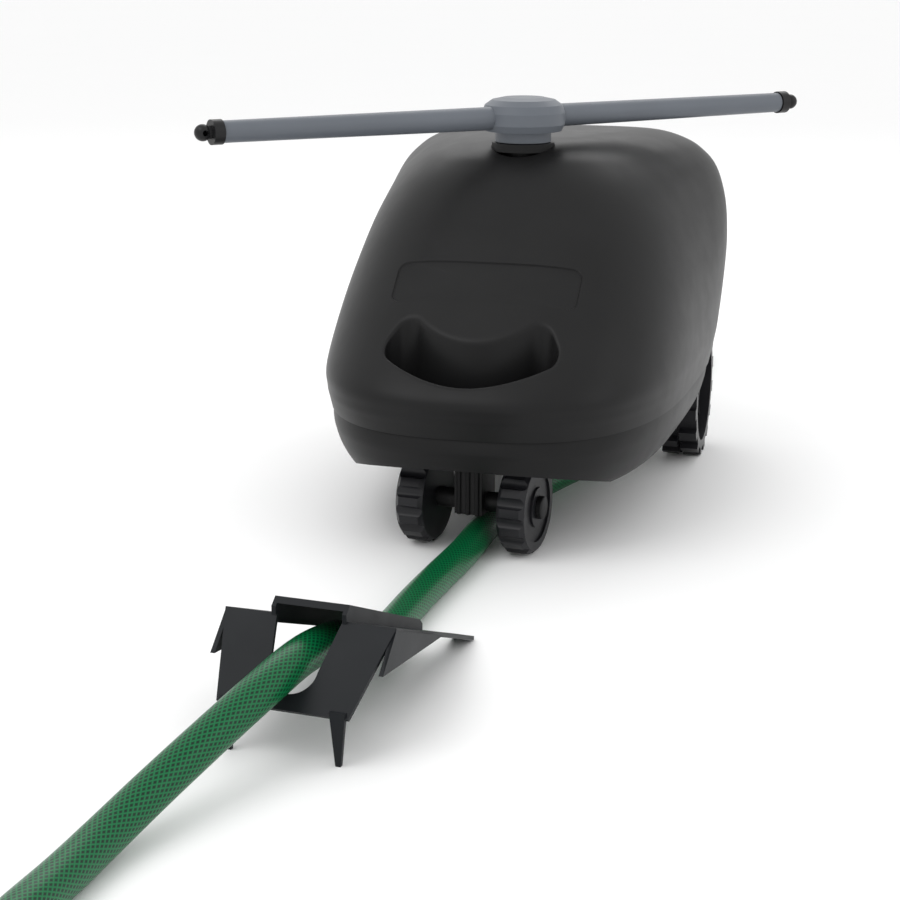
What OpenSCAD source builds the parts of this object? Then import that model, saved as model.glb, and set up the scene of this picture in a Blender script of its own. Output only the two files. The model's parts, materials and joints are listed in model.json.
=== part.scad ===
// Travelling lawn sprinkler on a garden hose, with its shut-off ramp.
// Millimetres, +Z up. The origin is on the ground, at the middle of the whole length.
// The front is -Y. Sub-parts are drawn from the front axle, at y = 0, and then placed.

/* [Body] */
// Length of the moulded body, nose to tail
body_len = 380; // [340:1:420]
// Distance that the nose reaches ahead of the front axle
nose_reach = 50; // [40:1:60]
// Height of the parting line between cover and base
seam_z = 88; // [80:1:96]
// Height of the top of the cover
body_top = 266; // [250:1:280]
// Half width of the body near the nose
nose_half_w = 122; // [116:1:128]
// Half width of the body at the tail
tail_half_w = 152; // [144:1:158]
// Moulded wall thickness
wall = 3; // [2.5:0.1:4]
// Height of the lowest edge of the base shell
base_z = 46; // [42:1:48]
// Height of the base's edge under the nose, which falls to the lowest edge further back
chin_z = 58; // [54:1:60]
// Distance behind the front axle where that edge comes down
chin_len = 45; // [40:1:60]
// Height of the arch over the front wheels
arch_z = 66; // [64:1:70]
// Half width of the arch over the front wheels
arch_half_w = 59; // [58:1:66]
// Half width of the arch's mouth in the nose
mouth_half_w = 50; // [46:1:60]
// Distance from the front axle to the rear axle
wheel_base = 280; // [270:1:290]
// Distance from the front axle to the arm's axis
hub_y = 141; // [135:1:147]
// Front axle from the middle of the whole length
front_axle_y = 8.2; // [4:0.01:14]

/* [Handle pocket and panel] */
// Outer radius of the curved hand pocket
pocket_r = 92; // [85:1:100]
// Width of the pocket from its lip to its back wall
pocket_w = 27; // [25:1:32]
// Half of the pocket's angle
pocket_half_angle = 45; // [36:1:48]
// Height of the pocket's floor
pocket_floor = 100; // [96:1:110]
// Distance of the pocket's lip ahead of the front axle
pocket_lip = 40; // [36:1:42]
// Width of the shallow panel on the slope
panel_w = 130; // [110:1:140]
// Length of the shallow panel down the slope
panel_len = 34; // [28:1:40]
// Depth of the shallow panel
panel_deep = 1.2; // [0.8:0.1:1.6]

/* [Chassis] */
// Height of the underside of the chassis plate
plate_z = 68; // [66:1:70]
// Thickness of the chassis plate
plate_t = 3; // [2.5:0.1:4]
// Gap between the chassis plate and the base shell
plate_gap = 0.4; // [0.3:0.1:0.6]
// Radial clearance of a turning shaft in its bore
run_gap = 0.05; // [0.02:0.01:0.08]
// Gap between pieces that move past each other
move_gap = 0.5; // [0.4:0.1:1]

/* [Front wheels] */
// Diameter of a front wheel
front_d = 66; // [60:1:72]
// Width of a front wheel
front_w = 20; // [16:1:21]
// Distance of a front wheel's middle from the centre line
front_x = 37; // [36:1:40]
// Lugs round a front wheel
front_lugs = 15; // [12:1:18]
// Radius of the round gullets between the lugs
gullet_r = 4.5; // [3.5:0.1:5]
// Depth of the gullets
gullet_deep = 2.6; // [2:0.1:3.2]
// Diameter of the front axle
front_axle_d = 8; // [7:0.5:9]
// Width of the steering post
post_w = 20; // [18:1:22]
// Length of the steering post, front to back
post_len = 26; // [22:1:30]
// Height of the steering post's foot
post_z = 26; // [25:1:28]
// Diameter of the steering pin
king_d = 12; // [10:1:14]
// Turn of the front wheels along the hose, in degrees
steer_turn = 7; // [0:1:10]
// Length of the steering pin above the plate's boss
king_top = 3; // [2:0.5:4]

/* [Rear wheels] */
// Diameter of a rear wheel
rear_d = 110; // [100:1:116]
// Width of a rear wheel
rear_w = 30; // [26:1:32]
// Distance of a rear wheel's outer face from the centre line
rear_face_x = 124; // [120:1:126]
// Cleats round a rear wheel
rear_cleats = 16; // [14:1:20]
// Height of the cleats
cleat_h = 5; // [4:0.5:7]
// Depth of the recess in a rear wheel's face
recess_deep = 12; // [8:1:14]
// Diameter of the rear axle
axle_d = 10; // [9:0.5:12]

/* [Drive] */
// Tooth module of the worm wheels
tooth_m = 2; // [1.8:0.1:2.2]
// Teeth on the arm's worm wheel
first_teeth = 24; // [22:1:26]
// Teeth on the rear axle's worm wheel
last_teeth = 24; // [22:1:26]
// Pitch radius of both worms
worm_r = 10; // [9:0.5:11]
// Thread height of a worm above its pitch radius
thread_h = 1.5; // [1.2:0.1:1.7]
// Threaded length of a worm
worm_len = 26; // [22:1:28]
// Width of a worm wheel
gear_w = 7; // [6:0.5:8]
// Diameter of the drive shaft
shaft_d = 8; // [7:0.5:9]
// Thickness of a shaft bearing block
block_t = 12; // [10:1:14]
// Width of a shaft bearing block
block_w = 22; // [20:1:26]

/* [Arm] */
// Distance from the arm's axis to a tube's end
arm_r = 238; // [220:1:260]
// Tube diameter at the hub
tube_root_d = 16.8; // [16:0.1:18]
// Tube diameter at the nozzle
tube_tip_d = 15; // [14:0.1:16]
// Bore of the tubes
tube_bore = 11; // [10:0.5:12]
// Height of the arm's middle
arm_z = 284; // [280:1:290]
// Upward slope of each tube, in degrees
arm_rise = 0.2; // [0:0.1:2]
// Turn of the arm from straight across, in degrees
arm_turn = 45; // [0:1:90]
// Diameter of the hub's dome
hub_d = 61; // [56:1:66]
// Height of the hub's dome
hub_h = 24; // [22:1:28]
// Diameter of the hub's neck
neck_d = 41; // [38:1:44]
// Diameter of the water stem
stem_d = 14; // [13:0.5:16]
// Bore of the water stem
stem_bore = 8; // [7:0.5:9]
// Outer diameter of the stem's housing
housing_d = 30; // [28:1:34]
// Diameter of the socket ring round the neck
ring_d = 46; // [44:1:50]
// Height of the socket ring's top
ring_z = 266; // [264:1:268]
// Diameter of a nozzle's collar
collar_d = 17; // [16.5:0.1:18]
// Length of a nozzle's collar
collar_len = 7.5; // [7:0.5:9]
// Diameter of a nozzle's ball tip
tip_d = 11.4; // [11:0.1:12.6]
// Bore of a nozzle's jet
jet_d = 4; // [3:0.1:5]

/* [Water line] */
// Distance of the water line to the left of the centre line
line_x = 34; // [32:1:36]
// Distance from the front axle to the shut-off valve
valve_y = 226; // [220:1:232]
// Outer diameter of the valve body
valve_d = 34; // [32:1:36]
// Height of the valve body's top
valve_top = 142; // [138:1:146]
// Outer diameter of the flow tube
flow_d = 16; // [15:0.5:18]
// Height of the flow tube
flow_z = 126; // [124:1:128]
// Outer diameter of the inlet spigot
inlet_d = 21; // [20:0.5:22]
// Height of the inlet
inlet_z = 83; // [82:0.5:85]
// Distance that the inlet reaches past the tail
inlet_reach = 12; // [10:1:16]
// Diameter of the valve's push rod
rod_d = 8; // [7:0.5:9]
// Length of the trip lever from its pin to its heel
lever_len = 84; // [80:1:90]
// Distance from the trip lever's pin to the push rod
lever_arm = 66; // [60:1:70]
// Width of the trip lever
lever_w = 10; // [8:1:12]
// Thickness of the trip lever
lever_t = 6; // [5:0.5:7]
// Height of the trip lever's pin
lever_z = 55; // [54:0.5:56]
// Hang of the trip lever below level, in degrees
lever_hang = 9; // [8:0.5:10]
// Diameter of the trip lever's pin
pin_d = 5; // [4:0.5:6]

/* [Ramp] */
// Width of the ramp at its crest
ramp_w = 98; // [90:1:106]
// Width of the ramp at its foot
ramp_foot_w = 74; // [70:1:80]
// Height of the crest
crest_z = 64; // [60:1:68]
// Height of the front plate's foot
foot_z = 27; // [25:1:30]
// Distance from the foot back to the crest
crest_y = 38; // [34:1:42]
// Distance from the crest back to the tail tips
tail_len = 150; // [140:1:160]
// Thickness of the ramp's sheet
sheet = 2.5; // [2:0.1:3]
// Width of the hose slot at the crest
slot_w = 38; // [34:1:42]
// Width of the hose slot at its round foot
slot_foot_w = 27; // [25:1:30]
// Height of the hood above the tracks
hood_h = 8; // [6:0.5:9]
// Length of the hood back from the crest
hood_len = 112; // [100:1:120]
// Width of a spike at its root
spike_w = 9; // [8:0.5:11]
// Distance between the two spikes
spike_gap = 62; // [56:1:66]
// Ramp's middle, left of the centre line
ramp_x = 11.5; // [6:0.5:16]
// Distance from the front axle forward to the spikes
ramp_y = 358; // [350:1:366]
// Turn of the ramp along the hose, in degrees
ramp_turn = 4.5; // [0:0.1:8]

/* [Hose] */
// Outer diameter of the hose
hose_d = 21; // [19:0.5:22]
// Turns in the coil, over its two layers
coil_turns = 2.5; // [1.5:1:4.5]
// Step between neighbouring turns, and between the layers
coil_step = 22; // [21.8:0.1:23]
// Radius of the coil's outer turn
coil_outer = 124; // [116:1:136]

/* [Hidden] */
$fn = 48;
// Every cut runs past its face by this much
over = 1;
// Share of that overrun which keeps two matching skins apart
hair_share = 0.01;
hair = over * hair_share;
// Sides of the body's outline, and of a hose
outline_sides = 56;
hose_sides = 10;
// Squareness of the outline at the nose and at the tail
nose_power = 2.8;
crown_power = 4.2;
tail_power = 4;
body_h = body_top - seam_z;
plate_top = plate_z + plate_t;
rear_r = rear_d / 2;
front_r = front_d / 2;
gear_pitch_r = tooth_m * first_teeth / 2;
last_pitch_r = tooth_m * last_teeth / 2;
worm_gap = 0.8;
thread_pitch = PI * tooth_m;
shaft_x = worm_r + gear_pitch_r;
shaft_z = rear_r + worm_r + last_pitch_r;
// Cover levels, nose to crown: height, nose set-back, tail set-back, widths at nose and tail
cover_shares = [[0, 0, 0, 1, 0.905], [0.09, 0.001, 0, 1.005, 0.93], [0.17, 0.012, 0, 1, 0.95],
    [0.35, 0.105, 0, 0.95, 0.98], [0.52, 0.197, 0, 0.88, 1], [0.69, 0.287, 0.002, 0.79, 0.99],
    [0.83, 0.362, 0.01, 0.67, 0.94], [0.91, 0.41, 0.022, 0.56, 0.85], [0.955, 0.446, 0.04, 0.47, 0.75],
    [0.985, 0.5, 0.072, 0.36, 0.63], [1, 0.6, 0.13, 0.25, 0.48]];
// Base levels from the seam down: depth, inset as shares of the base's height
base_shares = [[0, 0], [0.2, 0.04], [0.55, 0.14], [0.85, 0.3], [1, 0.46]];
base_h = seam_z - base_z;

function power_of(s, p) = sign(s) * pow(abs(s), 2 / p);
// One outline of the body: nose and tail places, half widths there, and an inset all round
function outline(z, nose, tail, wn, wt, inset, power) = [for (i = [0:outline_sides - 1])
    let (a = 360 * i / outline_sides, p = sin(a) < 0 ? power : tail_power,
        c = power_of(cos(a), p), s = power_of(sin(a), p), w = wn + (wt - wn) * (s + 1) / 2 - inset)
    [w * c, (nose + tail) / 2 + ((tail - nose) / 2 - inset) * s, z]];
function cover_ring(k, inset) = outline(seam_z + body_h * k[0] - (k[0] > 0 ? inset * k[0] : 0),
    -nose_reach + body_len * k[1], body_len - nose_reach - body_len * k[2],
    nose_half_w * k[3], tail_half_w * k[4], inset, nose_power + (crown_power - nose_power) * k[0]);
function base_ring(k, inset) = outline(seam_z - base_h * k[0], -nose_reach, body_len - nose_reach,
    nose_half_w, tail_half_w * cover_shares[0][4], inset + base_h * k[1], nose_power);
function strip(a, n) = [for (i = [0:n - 1]) each [[a + i, a + (i + 1) % n, a + n + i],
    [a + (i + 1) % n, a + n + (i + 1) % n, a + n + i]]];

// A closed solid through rings of points, listed from the lowest ring up
module skin(rings) {
    n = len(rings[0]);
    last = (len(rings) - 1) * n;
    polyhedron(points = [for (r = rings) each r], faces = [[for (i = [0:n - 1]) i],
        for (k = [0:len(rings) - 2]) each [for (t = strip(k * n, n)) [t[2], t[1], t[0]]],
        [for (i = [n - 1:-1:0]) last + i]], convexity = 6);
}
module place() {
    translate([0, front_axle_y, 0]) children();
}
// The steering's pieces stand turned along the hose
module steered() {
    place() rotate([0, 0, -steer_turn]) children();
}
module along_x(length, d) {
    rotate([0, 90, 0]) cylinder(h = length, d = d, center = true);
}
module along_y(length, d) {
    rotate([-90, 0, 0]) cylinder(h = length, d = d);
}

// Cover
panel_y_share = 0.2;
slope_angle = atan((cover_shares[6][0] - cover_shares[3][0]) * body_h
    / ((cover_shares[6][1] - cover_shares[3][1]) * body_len));
function slope_z(y) = seam_z + cover_shares[3][0] * body_h
    + (y + nose_reach - cover_shares[3][1] * body_len) * tan(slope_angle);
pocket_round = 11;
module pocket_plan(inset) {
    r = pocket_r - pocket_w / 2;
    n = 16;
    translate([0, pocket_r - pocket_lip]) offset(r = pocket_round - inset) offset(delta = -pocket_round)
        polygon([for (i = [0:n]) let (a = -90 - pocket_half_angle + 2 * pocket_half_angle * i / n)
            (r + pocket_w / 2) * [cos(a), sin(a)],
            for (i = [n:-1:0]) let (a = -90 - pocket_half_angle + 2 * pocket_half_angle * i / n)
            (r - pocket_w / 2) * [cos(a), sin(a)]]);
}
module cover() color([0.16, 0.16, 0.16]) place() {
    panel_y = -nose_reach + panel_y_share * body_len;
    difference() {
        skin([for (k = cover_shares) cover_ring(k, 0)]);
        difference() {
            translate([0, 0, -hair]) skin([for (k = cover_shares) cover_ring(k, wall)]);
            // Walls and floor of the pocket stay
            translate([0, 0, pocket_floor - wall]) linear_extrude(body_h) pocket_plan(-wall);
        }
        translate([0, 0, pocket_floor]) linear_extrude(body_h) pocket_plan(0);
        // Shallow bare panel on the slope
        intersection() {
            translate([0, panel_y, slope_z(panel_y)]) rotate([slope_angle, 0, 0])
                cube([panel_w, panel_len, panel_w], center = true);
            difference() {
                skin([for (k = cover_shares) cover_ring(k, -panel_deep)]);
                skin([for (k = cover_shares) cover_ring(k, panel_deep)]);
            }
        }
        // Hole for the socket ring
        translate([0, hub_y, seam_z]) cylinder(h = body_h + over, d = ring_d + 2 * plate_gap);
        inlet_hole();
        rear_arches();
    }
}
// The parting line runs through the inlet's hole
module inlet_hole() translate([-line_x, wheel_base, inlet_z]) along_y(body_len, inlet_d + 2 * plate_gap);

// Base shell, open below, with arches for the wheels
wheel_clear = 6;
module rear_arches() for (s = [-1, 1]) translate([s * (rear_face_x - rear_w / 2 + tail_half_w / 4), wheel_base,
    rear_r]) along_x(rear_w + 2 * wheel_clear + tail_half_w / 2, rear_d + 2 * wheel_clear);
// Everything ahead of the rear axle, or behind it
module half_space(s) translate([-tail_half_w, wheel_base - (s < 0 ? body_len : 0), 0])
    cube([2 * tail_half_w, body_len, body_top]);
module base_skin() {
    levels = [for (i = [len(base_shares) - 1:-1:0]) base_shares[i]];
    difference() {
        skin([for (k = levels) base_ring(k, 0)]);
        translate([0, 0, hair]) skin([for (k = levels) base_ring(k, wall)]);
        skin([for (k = levels) [for (p = base_ring(k, wall)) p - [0, 0, over]]]);
        // Front wheels swing in this arch
        translate([-arch_half_w, -front_r - wheel_clear, base_z - over])
            cube([2 * arch_half_w, 2 * (front_r + wheel_clear), arch_z - base_z + over]);
        translate([-mouth_half_w, -nose_reach - over, base_z - over])
            cube([2 * mouth_half_w, nose_reach, arch_z - base_z + over]);
        rotate([90, 0, 90]) linear_extrude(2 * tail_half_w, center = true)
            polygon([[-nose_reach - over, base_z - over], [chin_len, base_z - over], [chin_len, base_z],
                [-nose_reach - over, chin_z]]);
        rear_arches();
        inlet_hole();
    }
}
// The rear wheels part the base's skin into a shell and a tail panel
module base_shell() color([0.14, 0.14, 0.14]) place() intersection() {
    base_skin();
    half_space(-1);
}
module tail_panel() color([0.14, 0.14, 0.14]) place() intersection() {
    base_skin();
    half_space(1);
}

// Chassis plate, which carries the running gear
boss_d = 26;
boss_h = 12;
foot_pin_d = 8;
foot_pin_h = 7;
lever_y = valve_y - lever_arm;
module plate_plan() {
    inset = lookup((seam_z - plate_z) / base_h, base_shares) * base_h + wall + plate_gap;
    flat = outline(0, -nose_reach, body_len - nose_reach, nose_half_w, tail_half_w * cover_shares[0][4],
        inset, nose_power);
    polygon([for (p = flat) [p[0], p[1]]]);
}
screw_d = 4;
screw_head_d = 8;
screw_head_h = 2.6;
block_y_shares = [0.14, 0.66];
block_ys = [for (k = block_y_shares) hub_y + (wheel_base - hub_y) * k];
screw_step = 8;
module screw_places() {
    for (y = block_ys, s = [-1, 1]) translate([shaft_x + s * screw_step, y + block_t / 2, 0]) children();
}
module chassis_plate() color([0.2, 0.2, 0.21]) place() difference() {
    union() {
        translate([0, 0, plate_z]) linear_extrude(plate_t) plate_plan();
        // Steering pin boss and foot bearing of the stem
        translate([0, 0, plate_z]) cylinder(h = boss_h, d = boss_d);
        translate([0, hub_y, plate_z]) cylinder(h = foot_pin_h - move_gap, d = boss_d - king_d / 2);
    }
    translate([0, 0, plate_z - over]) cylinder(h = boss_h + 2 * over, d = king_d + 2 * run_gap);
    translate([0, hub_y, plate_z - over]) cylinder(h = boss_h + over, d = foot_pin_d + 2 * run_gap);
    // Rear wheels and the axle's worm wheel
    for (s = [-1, 1]) translate([s * (rear_face_x - rear_w / 2), wheel_base, plate_z])
        along_x(rear_w + 2 * wheel_clear, rear_d + 2 * wheel_clear);
    translate([shaft_x, wheel_base, plate_z])
        cube([gear_w + 2 * wheel_clear, 2 * (last_pitch_r + wheel_clear), 4 * plate_t], center = true);
    translate([shaft_x, hub_y, plate_z])
        cube([2 * gear_pitch_r, gear_w + 2 * wheel_clear, 4 * plate_t], center = true);
    // Push rod
    translate([-line_x, valve_y, plate_z - over])
        cylinder(h = plate_t + 2 * over, d = rod_d + 2 * run_gap);
    screw_places() translate([0, 0, plate_z - over]) cylinder(h = plate_t + 2 * over, d = screw_d);
}

hanger_x_share = 0.62;
hanger_t = 12;
hanger_len = 24;
module axle_bearings() color([0.2, 0.2, 0.21]) place() difference() {
    for (s = [-1, 1]) translate([s * rear_face_x * hanger_x_share, wheel_base, 0]) {
        translate([-hanger_t / 2, -hanger_len / 2, rear_r]) cube([hanger_t, hanger_len, plate_z - rear_r]);
        translate([0, 0, rear_r]) along_x(hanger_t, hanger_len);
    }
    translate([0, wheel_base, rear_r]) along_x(2 * rear_face_x, axle_d + 2 * run_gap);
}
module shaft_bearings() color([0.3, 0.3, 0.31]) place() difference() {
    for (y = block_ys) translate([shaft_x, y, 0]) {
        translate([-block_w / 2, 0, plate_top]) cube([block_w, block_t, shaft_z - plate_top]);
        translate([0, 0, shaft_z]) along_y(block_t, block_w);
    }
    translate([shaft_x, hub_y, shaft_z]) along_y(wheel_base, shaft_d + 2 * run_gap);
    screw_places() translate([0, 0, plate_top - over]) cylinder(h = screw_step + over, d = screw_d);
}
module chassis_screws() color([0.75, 0.75, 0.75]) place() screw_places() {
    translate([0, 0, plate_z - screw_head_h]) cylinder(h = screw_head_h, d = screw_head_d);
    translate([0, 0, plate_z]) cylinder(h = plate_t + screw_step, d = screw_d);
}

// Water line: inlet, valve, flow tube and the stem's housing
housing_z = shaft_z + worm_len / 2 + wheel_clear;
bridge_h = 12;
bridge_w = 14;
leg_y = 34;
ring_h = 6;
module stem_housing() color([0.12, 0.12, 0.12]) place() translate([0, hub_y, 0]) difference() {
    union() {
        translate([0, 0, housing_z]) cylinder(h = ring_z - housing_z, d = housing_d);
        translate([0, 0, ring_z - ring_h]) cylinder(h = ring_h, d = ring_d);
        translate([-bridge_w / 2, -leg_y - bridge_w / 2, housing_z])
            cube([bridge_w, 2 * leg_y + bridge_w, bridge_h]);
        for (s = [-1, 1]) translate([-bridge_w / 2, s * leg_y - bridge_w / 2, plate_top])
            cube([bridge_w, bridge_w, housing_z - plate_top]);
    }
    translate([0, 0, housing_z - over]) cylinder(h = ring_z, d = stem_d + 2 * run_gap);
    translate([0, 0, ring_z - seal_h]) cylinder(h = ring_h + over, d = seal_d);
    // Water port from the flow tube
    translate([-housing_d / 2, 0, flow_z]) along_x(housing_d, tube_bore);
}
seal_d = 24;
seal_h = 4;
module stem_seal() color([0.05, 0.05, 0.05]) place() translate([0, hub_y, ring_z - seal_h]) difference() {
    cylinder(h = seal_h, d = seal_d - run_gap);
    translate([0, 0, -over]) cylinder(h = seal_h + 2 * over, d = stem_d + 2 * run_gap);
}
module flow_tube() color([0.25, 0.25, 0.26]) place() difference() {
    union() {
        translate([-line_x, hub_y, flow_z]) along_y(valve_y - hub_y - tube_bore, flow_d);
        // Moulded elbow block
        translate([-line_x, hub_y, flow_z]) cube(flow_d + sheet, center = true);
        translate([-(line_x + tube_bore) / 2, hub_y, flow_z]) along_x(line_x - tube_bore, flow_d);
    }
    translate([-line_x, hub_y - tube_bore / 2, flow_z]) along_y(valve_y, tube_bore);
    translate([-line_x / 2, hub_y, flow_z]) along_x(line_x + tube_bore, tube_bore);
    translate([0, hub_y, plate_top]) cylinder(h = body_h, d = housing_d);
    translate([-line_x, valve_y, plate_top]) cylinder(h = body_h, d = valve_d);
}
module valve_body() color([0.22, 0.22, 0.23]) place() difference() {
    translate([-line_x, valve_y, plate_top]) cylinder(h = valve_top - plate_top, d = valve_d);
    translate([-line_x, valve_y, plate_top - over])
        cylinder(h = valve_top - plate_top - wall, d = rod_d + 2 * run_gap);
    translate([-line_x, valve_y - valve_d, flow_z]) along_y(valve_d, tube_bore);
    translate([-line_x, valve_y, inlet_z]) along_y(valve_d, tube_bore);
}
inlet_end = body_len - nose_reach + inlet_reach;
module inlet_spigot() color([0.22, 0.22, 0.23]) place() difference() {
    translate([-line_x, valve_y, inlet_z]) along_y(inlet_end - valve_y, inlet_d);
    translate([-line_x, valve_y - over, inlet_z]) along_y(body_len, tube_bore);
    translate([-line_x, valve_y, plate_top]) cylinder(h = body_h, d = valve_d);
}
washer_t = 2.5;
module inlet_washer() color([0.05, 0.05, 0.05]) place() difference() {
    translate([-line_x, inlet_end, inlet_z]) along_y(washer_t, inlet_d);
    translate([-line_x, inlet_end - over, inlet_z]) along_y(washer_t + 2 * over, tube_bore);
}

// Trip lever and push rod
ear_t = 4;
ear_len = 14;
module trip_bracket() color([0.2, 0.2, 0.21]) place() difference() {
    for (s = [-1, 1]) translate([-line_x + s * (lever_w / 2 + move_gap + ear_t / 2), lever_y, 0]) {
        translate([-ear_t / 2, -ear_len / 2, lever_z]) cube([ear_t, ear_len, plate_z - lever_z]);
        translate([0, 0, lever_z]) along_x(ear_t, ear_len);
    }
    translate([-line_x, lever_y, lever_z]) along_x(line_x, pin_d + 2 * run_gap);
}
shoe_r = 16;
module trip_lever() color([0.55, 0.12, 0.1]) place() translate([-line_x, lever_y, lever_z]) {
    rotate([-lever_hang, 0, 0]) {
        along_x(lever_w, 2 * lever_t);
        translate([-lever_w / 2, 0, -lever_t]) cube([lever_w, lever_len, lever_t]);
        // Round shoe that rides up the ramp's hood
        intersection() {
            translate([0, lever_len - shoe_r, -lever_t]) along_x(lever_w, 2 * shoe_r);
            translate([-lever_w / 2, lever_len - 2 * shoe_r, -lever_t - shoe_r / 2])
                cube([lever_w, 2 * shoe_r, shoe_r / 2 + lever_t / 2]);
        }
    }
    along_x(lever_w + 2 * move_gap + 2 * ear_t, pin_d);
}
rod_foot = lever_z - (lever_arm - rod_d / 2) * tan(lever_hang) + move_gap;
rod_travel = 12;
module push_rod() color([0.7, 0.62, 0.35]) place() translate([-line_x, valve_y, rod_foot])
    cylinder(h = valve_top - 2 * wall - rod_travel - rod_foot, d = rod_d);

// Front wheels and steering
module steering_yoke() color([0.13, 0.13, 0.13]) steered() difference() {
    union() {
        translate([-post_w / 2, -post_len / 2, post_z]) cube([post_w, post_len, plate_z - move_gap - post_z]);
        // Ribs down the front and back
        for (x = [-1, 0, 1], s = [-1, 1]) translate([x * post_w / 3, s * post_len / 2, post_z])
            cylinder(h = plate_z - move_gap - post_z, d = post_w / 6);
        translate([0, 0, post_z]) cylinder(h = plate_z + boss_h + king_top - post_z, d = king_d);
        translate([0, 0, front_r]) along_x(2 * (front_x - front_w / 2 - move_gap), axle_boss_d);
    }
    translate([0, 0, front_r]) along_x(2 * front_x, front_axle_d);
}
cap_t = 3;
axle_boss_d = 14;
axle_half = front_x + front_w / 2 + move_gap + cap_t;
module front_axle() color([0.7, 0.7, 0.7]) steered()
    translate([0, 0, front_r]) along_x(2 * axle_half, front_axle_d);
module axle_caps() color([0.3, 0.3, 0.3]) steered() for (s = [-1, 1]) difference() {
    translate([s * (axle_half - cap_t / 2), 0, front_r]) along_x(cap_t, 2 * front_axle_d);
    translate([s * axle_half, 0, front_r]) along_x(4 * cap_t, front_axle_d);
}
shoulder = 3;
hub_ring_share = 0.42;
module front_wheel(s) translate([s * front_x, 0, front_r]) difference() {
    union() {
        rotate([0, 90, 0]) rotate_extrude() polygon([[0, -front_w / 2], [front_r - shoulder, -front_w / 2],
            [front_r, -front_w / 2 + shoulder], [front_r, front_w / 2 - shoulder],
            [front_r - shoulder, front_w / 2], [0, front_w / 2]]);
    }
    for (i = [0:front_lugs - 1]) rotate([360 * i / front_lugs, 0, 0])
        translate([0, 0, front_r + gullet_r - gullet_deep]) along_x(front_w + 2 * over, 2 * gullet_r);
    // Recess round the hub ring, on the outer face
    translate([s * front_w / 2, 0, 0]) rotate([0, 90, 0]) difference() {
        cylinder(h = shoulder, d = 2 * (front_r - 2 * shoulder - gullet_deep), center = true);
        cylinder(h = 2 * shoulder, d = hub_ring_share * front_d, center = true);
    }
    along_x(2 * front_w, front_axle_d + 2 * run_gap);
}
module front_wheel_left() color([0.1, 0.1, 0.1]) steered() front_wheel(-1);
module front_wheel_right() color([0.1, 0.1, 0.1]) steered() front_wheel(1);

// Rear wheels and axle
module rear_axle() color([0.7, 0.7, 0.7]) place()
    translate([0, wheel_base, rear_r]) along_x(2 * (rear_face_x - recess_deep + nut_t), axle_d);
nut_t = 5;
nut_d = 20;
module wheel_nuts() color([0.65, 0.65, 0.66]) place() for (s = [-1, 1]) difference() {
    translate([s * (rear_face_x - recess_deep + nut_t / 2), wheel_base, rear_r]) rotate([0, 90, 0])
        cylinder(h = nut_t, d = nut_d, center = true, $fn = 6);
    translate([s * rear_face_x, wheel_base, rear_r]) along_x(4 * nut_t + 2 * recess_deep, axle_d);
}
cleat_w_share = 0.46;
cleat_land = 1;
spokes = 8;
spoke_t = 3;
rear_hub_d = 34;
rim_t = 7;
// One row of cleats, as an outline that is drawn about Z and turned to lie along X
module cleat_row(tread_r) {
    half_w = PI * tread_r * cleat_w_share / rear_cleats;
    corners = [[tread_r, -1], [rear_r, -1], [rear_r, 1], [tread_r, 1]];
    rotate([0, 90, 0]) linear_extrude(rear_w / 2 - cleat_land) polygon([for (i = [0:rear_cleats - 1], c = corners)
        let (a = 360 * i / rear_cleats + c[1] * asin(half_w / c[0])) c[0] * [cos(a), sin(a)]]);
}
module rear_wheel(s) translate([s * (rear_face_x - rear_w / 2), wheel_base, rear_r]) difference() {
    tread_r = rear_r - cleat_h;
    union() {
        along_x(4 * cleat_land, 2 * (tread_r - cleat_land));
        // The two rows of cleats are staggered
        translate([-rear_w / 2, 0, 0]) cleat_row(tread_r);
        rotate([180 / rear_cleats, 0, 0]) translate([cleat_land, 0, 0]) cleat_row(tread_r);
    }
    // Dished outer face with spokes round a hub ring
    difference() {
        translate([s * rear_w / 2, 0, 0]) along_x(2 * recess_deep, 2 * (tread_r - rim_t));
        translate([s * (rear_w / 2 - recess_deep), 0, 0]) along_x(recess_deep, rear_hub_d);
        for (i = [0:spokes - 1]) rotate([360 * i / spokes, 0, 0])
            translate([s * (rear_w / 2 - recess_deep - cleat_land) - recess_deep / 2, -spoke_t / 2,
                (rear_hub_d - spoke_t) / 2])
            cube([recess_deep, spoke_t, tread_r - rear_hub_d / 2]);
    }
    translate([s * (rear_w / 2 - recess_deep / 2), 0, 0]) along_x(recess_deep, rear_hub_d - rim_t);
    along_x(2 * rear_w, axle_d);
}
module rear_wheel_left() color([0.1, 0.1, 0.1]) place() rear_wheel(-1);
module rear_wheel_right() color([0.1, 0.1, 0.1]) place() rear_wheel(1);

// Worms and worm wheels
thread_slices = 12;
// The crest of the thread faces the given angle at the middle of the worm
module worm(face) {
    turn = 360 * worm_len / thread_pitch;
    rotate(face - turn / 2) linear_extrude(worm_len, center = true, twist = -turn,
        slices = round(thread_slices * worm_len / thread_pitch))
        translate([thread_h, 0]) circle(r = worm_r, $fn = 18);
}
tooth_w_share = 0.22;
module worm_wheel(teeth, bore) difference() {
    pitch_r = tooth_m * teeth / 2;
    root_r = pitch_r - thread_h - worm_gap;
    tip_r = pitch_r + thread_h - worm_gap;
    half_w = thread_pitch * tooth_w_share / 2;
    // Each tooth has straight sides, from root to tip and back
    corners = [[root_r, -1], [tip_r, -1], [tip_r, 1], [root_r, 1]];
    linear_extrude(gear_w, center = true) polygon([for (i = [0:teeth - 1], c = corners)
        let (a = 360 * (i + 0.5) / teeth + c[1] * asin(half_w / c[0])) c[0] * [cos(a), sin(a)]]);
    cylinder(h = gear_w + 2 * over, d = bore, center = true);
}
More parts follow.
